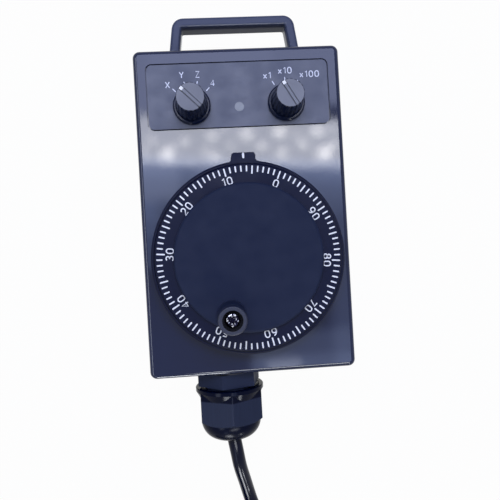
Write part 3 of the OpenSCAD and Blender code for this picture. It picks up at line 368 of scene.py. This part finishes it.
CAD_FINISHES = {
    "case": ["front_shell"],
    "handle": ["hanging_handle"],
    "cover": ["rear_cover"],
    "wheel": ["handwheel", "index_flange", "encoder_housing"],
    "disc": ["front_disc"],
    "gland": ["gland_body", "gland_locknut", "gland_claws"],
    "nut": ["gland_dome_nut"],
    "knob": [
        "axis_knob", "multiplier_knob", "light_gate", "axis_switch", "multiplier_switch",
        "connector_insert",
    ],
    "cap": ["axis_knob_cap", "multiplier_knob_cap"],
    "grip": ["crank_grip"],
    "film": ["control_overlay"],
    "lens": ["indicator_lens", "indicator_lamp"],
    "rubber": ["case_gasket", "gland_washer", "gland_seal", "wires"],
    "cable": ["cable_entry"],
    "steel": [
        "cover_screws", "handle_screws", "flange_screws", "flange_nuts", "housing_screws",
        "terminal_screws", "bearing_outer_races", "bearing_inner_races", "bearing_balls",
        "main_spindle", "spindle_clip", "wheel_nuts", "detent_spring", "switch_nuts",
        "switch_washers", "axis_shaft", "multiplier_shaft", "code_disc", "crank_shaft",
    ],
    "black_steel": ["crank_screw"],
    "nickel": ["connector_shell", "connector_ring"],
    "brass": [
        "threaded_inserts", "detent_wheel", "axis_collet", "multiplier_collet", "switch_pins",
    ],
    "board": ["sensor_board", "switch_board", "terminal_block"],
}


def finish_cad():
    for finish, nodes in CAD_FINISHES.items():
        for node in nodes:
            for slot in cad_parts[node].material_slots:
                slot.link = "OBJECT"
                slot.material = MATERIALS[finish]


# ---- Printed marks ----

PRINT = 0.03 * MM                      # thickness of the print


def mesh_from(bm, name):
    bmesh.ops.recalc_face_normals(bm, faces=bm.faces)
    mesh = bpy.data.meshes.new(name)
    bm.to_mesh(mesh)
    bm.free()
    return mesh


def add_mark(name, mesh, finish, body):
    mesh.materials.clear()
    mesh.materials.append(MATERIALS[finish])
    for face in mesh.polygons:
        face.use_smooth = False
    piece = bpy.data.objects.new(name, mesh)
    COLLECTION.objects.link(piece)
    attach(piece, body)


def flat_bar(bm, at, angle, inner, outer, width, bottom):
    """A thin bar with rounded ends, along a circle's radius; its angle is clockwise from +Y."""
    def point(along, across, z):
        x = along * math.sin(angle) + across * math.cos(angle)
        y = along * math.cos(angle) - across * math.sin(angle)
        return Vector((at.x + x, at.y + y, z))

    half = width / 2
    steps = 6
    outline = []
    for centre, start in ((outer - half, 0), (inner + half, math.pi)):
        for i in range(steps + 1):
            a = start + math.pi * i / steps
            outline.append((centre + half * math.sin(a), half * math.cos(a)))
    low = [bm.verts.new(point(x, y, bottom)) for x, y in outline]
    high = [bm.verts.new(point(x, y, bottom + PRINT)) for x, y in outline]
    bm.faces.new(high)
    bm.faces.new(low[::-1])
    for i in range(len(low)):
        j = (i + 1) % len(low)
        bm.faces.new((low[i], low[j], high[j], high[i]))


def arc(x, y, rx, ry, start, end, steps=9):
    """Points on an ellipse, by angles in degrees anticlockwise from +X."""
    turn = [math.radians(start + (end - start) * i / steps) for i in range(steps + 1)]
    return [(x + rx * math.cos(t), y + ry * math.sin(t)) for t in turn]


# Strokes of each sign, in a box one unit high; each sign's width comes first
SIGNS = {
    "0": (0.62, [
        arc(0.31, 0.67, 0.31, 0.33, 0, 180) + arc(0.31, 0.33, 0.31, 0.33, 180, 360)
        + [(0.62, 0.67)]]),
    "1": (0.30, [[(0.02, 0.80), (0.28, 1.0), (0.28, 0.0)]]),
    "2": (0.60, [arc(0.30, 0.70, 0.29, 0.30, 165, -35) + [(0.0, 0.0), (0.60, 0.0)]]),
    "3": (0.60, [
        arc(0.29, 0.75, 0.27, 0.25, 150, -90) + arc(0.29, 0.26, 0.31, 0.26, 90, -150)]),
    "4": (0.66, [[(0.48, 0.0), (0.48, 1.0), (0.0, 0.28), (0.66, 0.28)]]),
    "5": (0.60, [
        [(0.55, 1.0), (0.08, 1.0), (0.03, 0.55)] + arc(0.29, 0.33, 0.31, 0.33, 120, -150)]),
    "6": (0.62, [
        arc(0.31, 0.31, 0.31, 0.31, 180, -180, 16), arc(0.62, 0.31, 0.62, 0.72, 180, 105)]),
    "7": (0.60, [[(0.0, 1.0), (0.60, 1.0), (0.18, 0.0)]]),
    "8": (0.62, [
        arc(0.31, 0.755, 0.27, 0.245, -90, 270, 16), arc(0.31, 0.26, 0.31, 0.26, 90, 450, 16)]),
    "9": (0.62, [
        arc(0.31, 0.69, 0.31, 0.31, 0, 360, 16), arc(0.0, 0.69, 0.62, 0.72, 0, -75)]),
    "x": (0.52, [[(0.0, 0.0), (0.52, 0.66)], [(0.0, 0.66), (0.52, 0.0)]]),
    "X": (0.66, [[(0.0, 0.0), (0.66, 1.0)], [(0.0, 1.0), (0.66, 0.0)]]),
    "Y": (0.66, [[(0.33, 0.0), (0.33, 0.47), (0.0, 1.0)], [(0.33, 0.47), (0.66, 1.0)]]),
    "Z": (0.62, [[(0.03, 1.0), (0.60, 1.0), (0.0, 0.0), (0.62, 0.0)]]),
}
SIGN_GAP = 0.2                         # between signs, as a share of their height


def lettering(name, text, height, stroke, at, turn, finish, body):
    """Printed signs of even stroke and whole height, centred on a point and turned about +Z."""
    curve = bpy.data.curves.new(name, "CURVE")
    curve.dimensions = "3D"
    curve.bevel_depth = stroke / 2
    curve.bevel_resolution = 1
    curve.use_fill_caps = True
    scale = height - stroke
    gap = SIGN_GAP * height + stroke
    width = sum(SIGNS[sign][0] * scale for sign in text) + gap * (len(text) - 1)
    x = -width / 2
    for sign in text:
        sign_width, strokes = SIGNS[sign]
        for line in strokes:
            spline = curve.splines.new("POLY")
            spline.points.add(len(line) - 1)
            for point, (u, v) in zip(spline.points, line):
                point.co = (x + u * scale, (v - 0.5) * scale, 0, 1)
        x += sign_width * scale + gap
    holder = bpy.data.objects.new(name + "_curve", curve)
    COLLECTION.objects.link(holder)
    bpy.context.view_layer.update()
    solid = holder.evaluated_get(bpy.context.evaluated_depsgraph_get())
    mesh = bpy.data.meshes.new_from_object(solid)
    bpy.data.objects.remove(holder)
    flat = Matrix.Diagonal((1, 1, 2 * PRINT / stroke, 1))
    mesh.transform(Matrix.Translation(at) @ Matrix.Rotation(turn, 4, "Z") @ flat)
    mesh.name = name
    add_mark(name, mesh, finish, body)


# ---- Dial: a hundred ticks, each fifth one long, and each tenth with its number ----

DIAL_MARKS = 100
ZERO_ANGLE = math.radians(23.1)        # of number 0, clockwise from +Y; they rise anticlockwise
TICK_OUT = 38.3 * MM
TICK_SHORT = 35.7 * MM                 # inner end of a short tick
TICK_LONG = 34.75 * MM                 # inner end of a long one
TICK_WIDTH = 0.62 * MM
NUMBER_R = 32.75 * MM
NUMBER_H = 3.5 * MM
NUMBER_STROKE = 0.52 * MM
INDEX_WIDTH = 0.9 * MM
INDEX_LENGTH = 2.5 * MM
INDEX_GAP = 0.1 * MM                   # from the tab's tip


def mark_angle(k):
    return ZERO_ANGLE - 2 * math.pi * k / DIAL_MARKS


def add_dial_ticks():
    bm = bmesh.new()
    for k in range(DIAL_MARKS):
        inner = TICK_LONG if k % 5 == 0 else TICK_SHORT
        flat_bar(bm, DIAL, mark_angle(k), inner, TICK_OUT, TICK_WIDTH, SCALE_Z)
    add_mark("dial_ticks", mesh_from(bm, "dial_ticks"), "white", "wheel")


def add_dial_numbers():
    for k in range(0, DIAL_MARKS, 10):
        a = mark_angle(k)
        at = DIAL + Vector((NUMBER_R * math.sin(a), NUMBER_R * math.cos(a), SCALE_Z))
        lettering(f"dial_number_{k}", str(k), NUMBER_H, NUMBER_STROKE, at, -a, "white", "wheel")


def add_index_mark():
    """White line on the tab, from near its tip inwards."""
    tip = INDEX_TIP.y - DIAL.y
    bm = bmesh.new()
    flat_bar(bm, DIAL, 0.0, tip - INDEX_LENGTH, tip - INDEX_GAP, INDEX_WIDTH, INDEX_TIP.z)
    add_mark("index_mark", mesh_from(bm, "index_mark"), "white", "case")


# ---- Selectors: marks on the label plate, and pointers on the knobs ----

# Angle of each mark, clockwise from +Y, then its word and the word's centre in millimetres
AXIS_MARKS = (
    (-45, "X", (-30.5, 55.7)), (-15, "Y", (-24.3, 59.8)),
    (15, "Z", (-17.4, 59.8)), (45, "4", (-11.1, 55.9)),
)
MULTIPLIER_MARKS = (
    (-30, "x1", (12.8, 58.3)), (0, "x10", (20.7, 60.2)), (30, "x100", (31.4, 58.3)),
)
MARK_IN = 9.3 * MM
MARK_OUT = 11.3 * MM
MARK_WIDTH = 0.42 * MM
LABEL_H = 2.95 * MM
LABEL_STROKE = 0.42 * MM
POINTER_ANGLES = {"axis": -45, "multiplier": -30}
POINTER_SIDE = 1.4 * MM
POINTER_T = 0.1 * MM
POINTER_EDGE = 0.04 * MM
POINTER_REACH = 5.5 * MM               # of its outer side, from the knob's axis


def add_selector_marks(name, node, marks):
    centre = middle(node)
    bm = bmesh.new()
    for angle, _, _ in marks:
        flat_bar(bm, centre, math.radians(angle), MARK_IN, MARK_OUT, MARK_WIDTH, PANEL_Z)
    add_mark(f"{name}_marks", mesh_from(bm, f"{name}_marks"), "label_white", "case")
    for _, word, (x, y) in marks:
        at = Vector((x * MM, y * MM, PANEL_Z))
        lettering(
            f"{name}_label_{word}", word, LABEL_H, LABEL_STROKE, at, 0, "label_white", "case")


def add_pointer(name):
    """White square at the pointing end of the knob's bar."""
    cap = f"{name}_knob_cap"
    centre = middle(cap)
    a = math.radians(POINTER_ANGLES[name])
    bm = bmesh.new()
    bmesh.ops.create_cube(bm, size=1.0)
    bmesh.ops.scale(bm, vec=(POINTER_SIDE, POINTER_SIDE, POINTER_T), verts=bm.verts)
    bmesh.ops.bevel(bm, geom=bm.edges[:], offset=POINTER_EDGE, segments=2, affect="EDGES")
    top = Matrix.Translation((centre.x, centre.y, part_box(cap)[1].z))
    outwards = Matrix.Translation((0, POINTER_REACH - POINTER_SIDE / 2, 0))
    place = top @ Matrix.Rotation(-a, 4, "Z") @ outwards
    bmesh.ops.transform(bm, matrix=place, verts=bm.verts)
    mark = f"{name}_pointer_mark"
    add_mark(mark, mesh_from(bm, mark), "white", f"{name}_selector")


# ---- Cable: the CAD part's route, in millimetres, with its coil worked out by a loop ----

CABLE_R = 3.25 * MM
GLAND = (-11, -71)


def from_gland(points):
    return [(GLAND[0] + x, GLAND[1] + y, z) for x, y, z in points]


CABLE_OUT = from_gland([
    (0, -25.2, 19), (0, -26.4, 19), (0.15, -29, 19), (0.5, -32, 18.95), (0.95, -35.5, 18.7),
    (1.5, -39, 18.2), (2, -42.65, 17.4), (2.5, -46.5, 16.1), (3.05, -50.3, 14.55),
    (4.4, -56.2, 11.25), (5.3, -60.5, 8.85), (6.25, -65, 6.7), (7.7, -71.3, 4.6),
    (9.1, -75.5, 3.75), (11.2, -80.5, 3.3), (14, -85.5, 3.25), (17.2, -90.3, 3.25),
    (20.4, -95.1, 3.25), (23.3, -100, 3.25),
])
CABLE_TAIL = from_gland([
    (12.4, -91, 9.9), (17.8, -95.6, 9.9), (23.2, -100.1, 10), (28.4, -104.8, 10.2),
    (33.2, -109.9, 10.6), (37.4, -115.4, 10.9), (40.6, -121.4, 11), (42.5, -127.6, 11),
    (43, -132, 11), (43, -134, 11),
])
COIL_AT = (-28, -197)
COIL_R = 36                            # mean radius of the turns
COIL_PITCH = 6.6
COIL_TURNS = 4                         # in each of the two layers
COIL_LOW = 3.25                        # height of the lower layer's middle
COIL_HIGH = 9.85
COIL_STEP = 10                         # degrees from point to point
RISE_STEPS = 8                         # points over which the line climbs to the upper layer
ROUTE_STEPS = 3                        # points of the smooth line for each one of the route
ROUTE_PASSES = 6                       # times that the line is evened out
FIXED_ENDS = 4                         # points at each end that evening out leaves in place


def coil_points():
    """Clockwise: four turns inwards on the floor, then four outwards on top of them."""
    def angle_of(point):
        return math.degrees(math.atan2(point[1] - COIL_AT[1], point[0] - COIL_AT[0]))

    outer = COIL_R + (COIL_TURNS - 1) / 2 * COIL_PITCH
    start = angle_of(CABLE_OUT[-1])
    total = 2 * COIL_TURNS * 360 - (angle_of(CABLE_TAIL[0]) - start)
    steps = round(total / COIL_STEP)
    half = steps / 2
    points = []
    for i in range(1, steps):
        a = math.radians(start - total * i / steps)
        turns_in = (half - abs(i - half)) / half * (COIL_TURNS - 1)
        r = outer - turns_in * COIL_PITCH
        rise = min(max((i - half + RISE_STEPS / 2) / RISE_STEPS, 0), 1)
        z = COIL_LOW + (COIL_HIGH - COIL_LOW) * (3 * rise**2 - 2 * rise**3)
        points.append((COIL_AT[0] + r * math.cos(a), COIL_AT[1] + r * math.sin(a), z))
    return points


def catmull_rom(points, steps):
    """A smooth line through the points."""
    line = []
    for i in range(len(points) - 1):
        p0, p1 = points[max(i - 1, 0)], points[i]
        p2, p3 = points[i + 1], points[min(i + 2, len(points) - 1)]
        for k in range(steps):
            t = k / steps
            line.append(0.5 * (
                2 * p1 + (p2 - p0) * t + (2 * p0 - 5 * p1 + 4 * p2 - p3) * t**2
                + (3 * p1 - p0 - 3 * p2 + p3) * t**3))
    return line + [points[-1]]


def evened_out(line):
    """The line with each point drawn towards its neighbours, apart from its ends."""
    ends = FIXED_ENDS
    for _ in range(ROUTE_PASSES):
        inner = zip(line[ends - 1:], line[ends:-ends], line[ends + 1:])
        line = line[:ends] + [0.25 * a + 0.5 * b + 0.25 * c for a, b, c in inner] + line[-ends:]
    return line


def add_cable():
    route = [Vector(p) * MM for p in CABLE_OUT + coil_points() + CABLE_TAIL]
    line = evened_out(catmull_rom(route, ROUTE_STEPS))
    near = ROUTE_STEPS * len(CABLE_OUT)     # the part near the camera gets more points
    line = catmull_rom(line[:near], ROUTE_STEPS) + line[near:]
    curve = bpy.data.curves.new("cable_whole", "CURVE")
    curve.dimensions = "3D"
    curve.bevel_depth = CABLE_R
    curve.bevel_resolution = 14
    curve.use_fill_caps = True
    spline = curve.splines.new("POLY")
    spline.points.add(len(line) - 1)
    for point, co in zip(spline.points, line):
        point.co = (*co, 1)
    spline.use_smooth = True
    curve.materials.append(MATERIALS["cable"])
    piece = bpy.data.objects.new("cable_whole", curve)
    COLLECTION.objects.link(piece)
    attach(piece, "case")
    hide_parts("cable", "cable_coil")


# ---- Studio: a pale floor and a pale room, which the camera, gloss and glass see as white ----

WHITE = (1, 1, 1)
FLOOR_HALF = 3.0
FLOOR_GAP = 0.0002                     # below the part, so that no faces lie in one plane
FLOOR_PALE = (0.55, 0.55, 0.56)
FLOOR_PALER = (0.58, 0.58, 0.59)
FLOOR_WHITENESS = 0.97                 # the rest shows the shadow
ROOM_COLOUR = (0.86, 0.90, 1.0)
ROOM_LIGHT = 0.6


def add_floor():
    bm = bmesh.new()
    bmesh.ops.create_grid(bm, x_segments=8, y_segments=8, size=FLOOR_HALF)
    mesh = mesh_from(bm, "floor")
    floor = bpy.data.objects.new("floor", mesh)
    COLLECTION.objects.link(floor)
    floor.location.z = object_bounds()[0].z - FLOOR_GAP
    n = Material("floor_white")
    n.finish(n.mix(n.noise(3, 2), FLOOR_PALE, FLOOR_PALER), 0.9, Specular_IOR_Level=0.1)
    white = n.add("ShaderNodeEmission")
    n.feed(WHITE, white.inputs["Color"])
    n.feed(1.0, white.inputs["Strength"])
    share = n.calc("MULTIPLY", n.seen_directly(), FLOOR_WHITENESS)
    n.surface(share, n.shader.outputs[0], white.outputs[0], "Material Output")
    mesh.materials.append(n.material)


def add_world():
    world = bpy.data.worlds.new("studio")
    n = Nodes(world)
    lit = n.tree.nodes["Background"]
    n.feed(ROOM_COLOUR, lit.inputs["Color"])
    n.feed(ROOM_LIGHT, lit.inputs["Strength"])
    seen = n.add("ShaderNodeBackground")
    n.feed(WHITE, seen.inputs["Color"])
    n.feed(1.0, seen.inputs["Strength"])
    n.surface(n.seen_directly(), lit.outputs[0], seen.outputs[0], "World Output")
    bpy.context.scene.world = world


# ---- Lamps: one window lights the scene, and the rest only show in the gloss ----

MIRRORED_Z = 1.04                      # height of the lamps that the panel mirrors
LAMP_STEP = 0.003                      # lamps that overlap hang at different heights
BLUE = (0.50, 0.62, 1.0)
WINDOW_BLUE = (0.60, 0.67, 1.0)
COOL_WHITE = (0.92, 0.95, 1.0)
WARM_WHITE = (1.0, 0.97, 0.94)
CEILING_TURN = math.radians(-3.9)
# Small lamps under the ceiling: x, y, side and brightness
CEILING_LAMPS = [
    (-0.016, 0.255, 0.018, 20), (0.066, 0.256, 0.022, 20), (0.144, 0.258, 0.026, 19),
    (0.235, 0.256, 0.024, 20), (-0.079, 0.242, 0.014, 22), (-0.156, 0.248, 0.014, 16),
    (0.027, 0.228, 0.014, 12), (0.099, 0.223, 0.016, 22), (0.196, 0.222, 0.020, 16),
    (0.267, 0.219, 0.015, 20), (-0.121, 0.213, 0.026, 24), (-0.032, 0.212, 0.014, 14),
    (-0.012, 0.200, 0.018, 18), (0.143, 0.200, 0.026, 12), (0.241, 0.196, 0.030, 24),
    (-0.170, 0.220, 0.012, 16), (0.262, 0.252, 0.012, 16), (-0.105, 0.226, 0.012, 12),
    (0.178, 0.238, 0.014, 10), (0.012, 0.258, 0.012, 12),
]
# The wall below the ceiling fades downwards: its layers share their top and end at these heights
WALL_TOP = 0.20
WALL_ENDS = (0.01, 0.045, 0.08, 0.11, 0.14, 0.157, 0.168)


def add_lamp(name, at, size, radiance, colour, aim=None, turn=0.0, lights_all=False):
    """An area lamp by its face's brightness; it shows in gloss alone unless it lights all.

    It shines straight down, or at its aim. An aimed lamp's first size is the level one.
    """
    data = bpy.data.lights.new(name, "AREA")
    data.shape = "RECTANGLE"
    data.size, data.size_y = size
    data.energy = radiance * math.pi * size[0] * size[1]
    data.color = colour
    lamp = bpy.data.objects.new(name, data)
    COLLECTION.objects.link(lamp)
    lamp.location = at
    lamp.rotation_euler = (0, 0, turn)
    if aim:
        lamp.rotation_euler = (Vector(aim) - Vector(at)).to_track_quat("-Z", "Y").to_euler()
    lamp.visible_diffuse = lights_all


def level(steps):
    """Height of a lamp so many steps above the first."""
    return MIRRORED_Z + steps * LAMP_STEP


def add_room():
    """The window, the ceiling and the wall that the upper half of the panel mirrors."""
    add_lamp("window", (-0.02, 0.52, level(0)), (0.80, 0.40), 7.3, WINDOW_BLUE, lights_all=True)
    add_lamp("window_middle", (-0.01, 0.52, level(1)), (0.30, 0.36), 0.8, WINDOW_BLUE)
    add_lamp(
        "ceiling", (0.05, 0.2425, level(-1)), (0.62, 0.115), 17.5, (0.86, 0.89, 1.0),
        turn=CEILING_TURN)
    for i, (x, y, side, radiance) in enumerate(CEILING_LAMPS):
        add_lamp(f"ceiling_lamp_{i}", (x, y, level(-2 - i)), (side, side), radiance, WARM_WHITE)
    for i, end in enumerate(WALL_ENDS):
        add_lamp(
            f"wall_{i}", (0.06, (WALL_TOP + end) / 2, level(i + 1)), (0.66, WALL_TOP - end),
            1.25, BLUE, turn=CEILING_TURN)


def add_low_lamps():
    """Lamps that the panel's margins mirror, beside and below the dial."""
    add_lamp("right_low", (0.33, -0.205, level(0)), (0.16, 0.45), 1.7, BLUE)
    add_lamp("low_window", (0.21, -0.33, level(1)), (0.32, 0.22), 2.0, BLUE)
    add_lamp("low_window_edge", (0.21, -0.36, level(2)), (0.32, 0.16), 2.1, BLUE)
    add_lamp("low_window_lamp", (0.1275, -0.38, level(3)), (0.075, 0.18), 6.2, (0.8, 0.85, 1.0))
    add_lamp("left_low", (-0.28, -0.16, level(0)), (0.09, 0.26), 2.0, (0.6, 0.85, 1.0))
    add_lamp("left_middle", (-0.25, 0.03, level(0)), (0.20, 0.16), 2.2, (0.4, 0.55, 1.0))
    add_lamp("wall_left", (-0.20, 0.155, level(9)), (0.20, 0.08), 2.6, (0.67, 0.74, 1.0))


def add_edge_lamps():
    """Far lamps that draw lines on rounded edges and glints on the gland and the cable."""
    add_lamp(
        "bottom_strip", (0.17, -0.74, 0.98), (0.54, 0.26), 20, COOL_WHITE, aim=(0, -0.06, PANEL_Z))
    add_lamp(
        "left_strip", (-0.82, -0.15, 0.98), (1.40, 0.34), 8, (0.80, 0.86, 1.0),
        aim=(-0.06, -0.15, PANEL_Z))
    add_lamp(
        "glint_lamp", (0.46, -1.25, 0.28), (0.13, 0.15), 36, COOL_WHITE, aim=(0, -0.08, PANEL_Z))
    add_lamp("far_strip", (-0.16, -1.35, 0.26), (0.30, 0.42), 24, COOL_WHITE, aim=(0, -0.12, 0))
    add_lamp(
        "far_strip_high", (-0.50, -1.30, 0.85), (0.26, 0.60), 3.5, (0.6, 0.7, 1.0),
        aim=(0, -0.12, 0))


# ---- The scene ----

bpy.context.scene.view_settings.view_transform = "Standard"
add_camera()
add_cable()
finish_cad()
add_dial_ticks()
add_dial_numbers()
add_index_mark()
add_selector_marks("axis", "axis_knob", AXIS_MARKS)
add_selector_marks("multiplier", "multiplier_knob", MULTIPLIER_MARKS)
add_pointer("axis")
add_pointer("multiplier")
add_floor()
add_world()
add_room()
add_low_lamps()
add_edge_lamps()
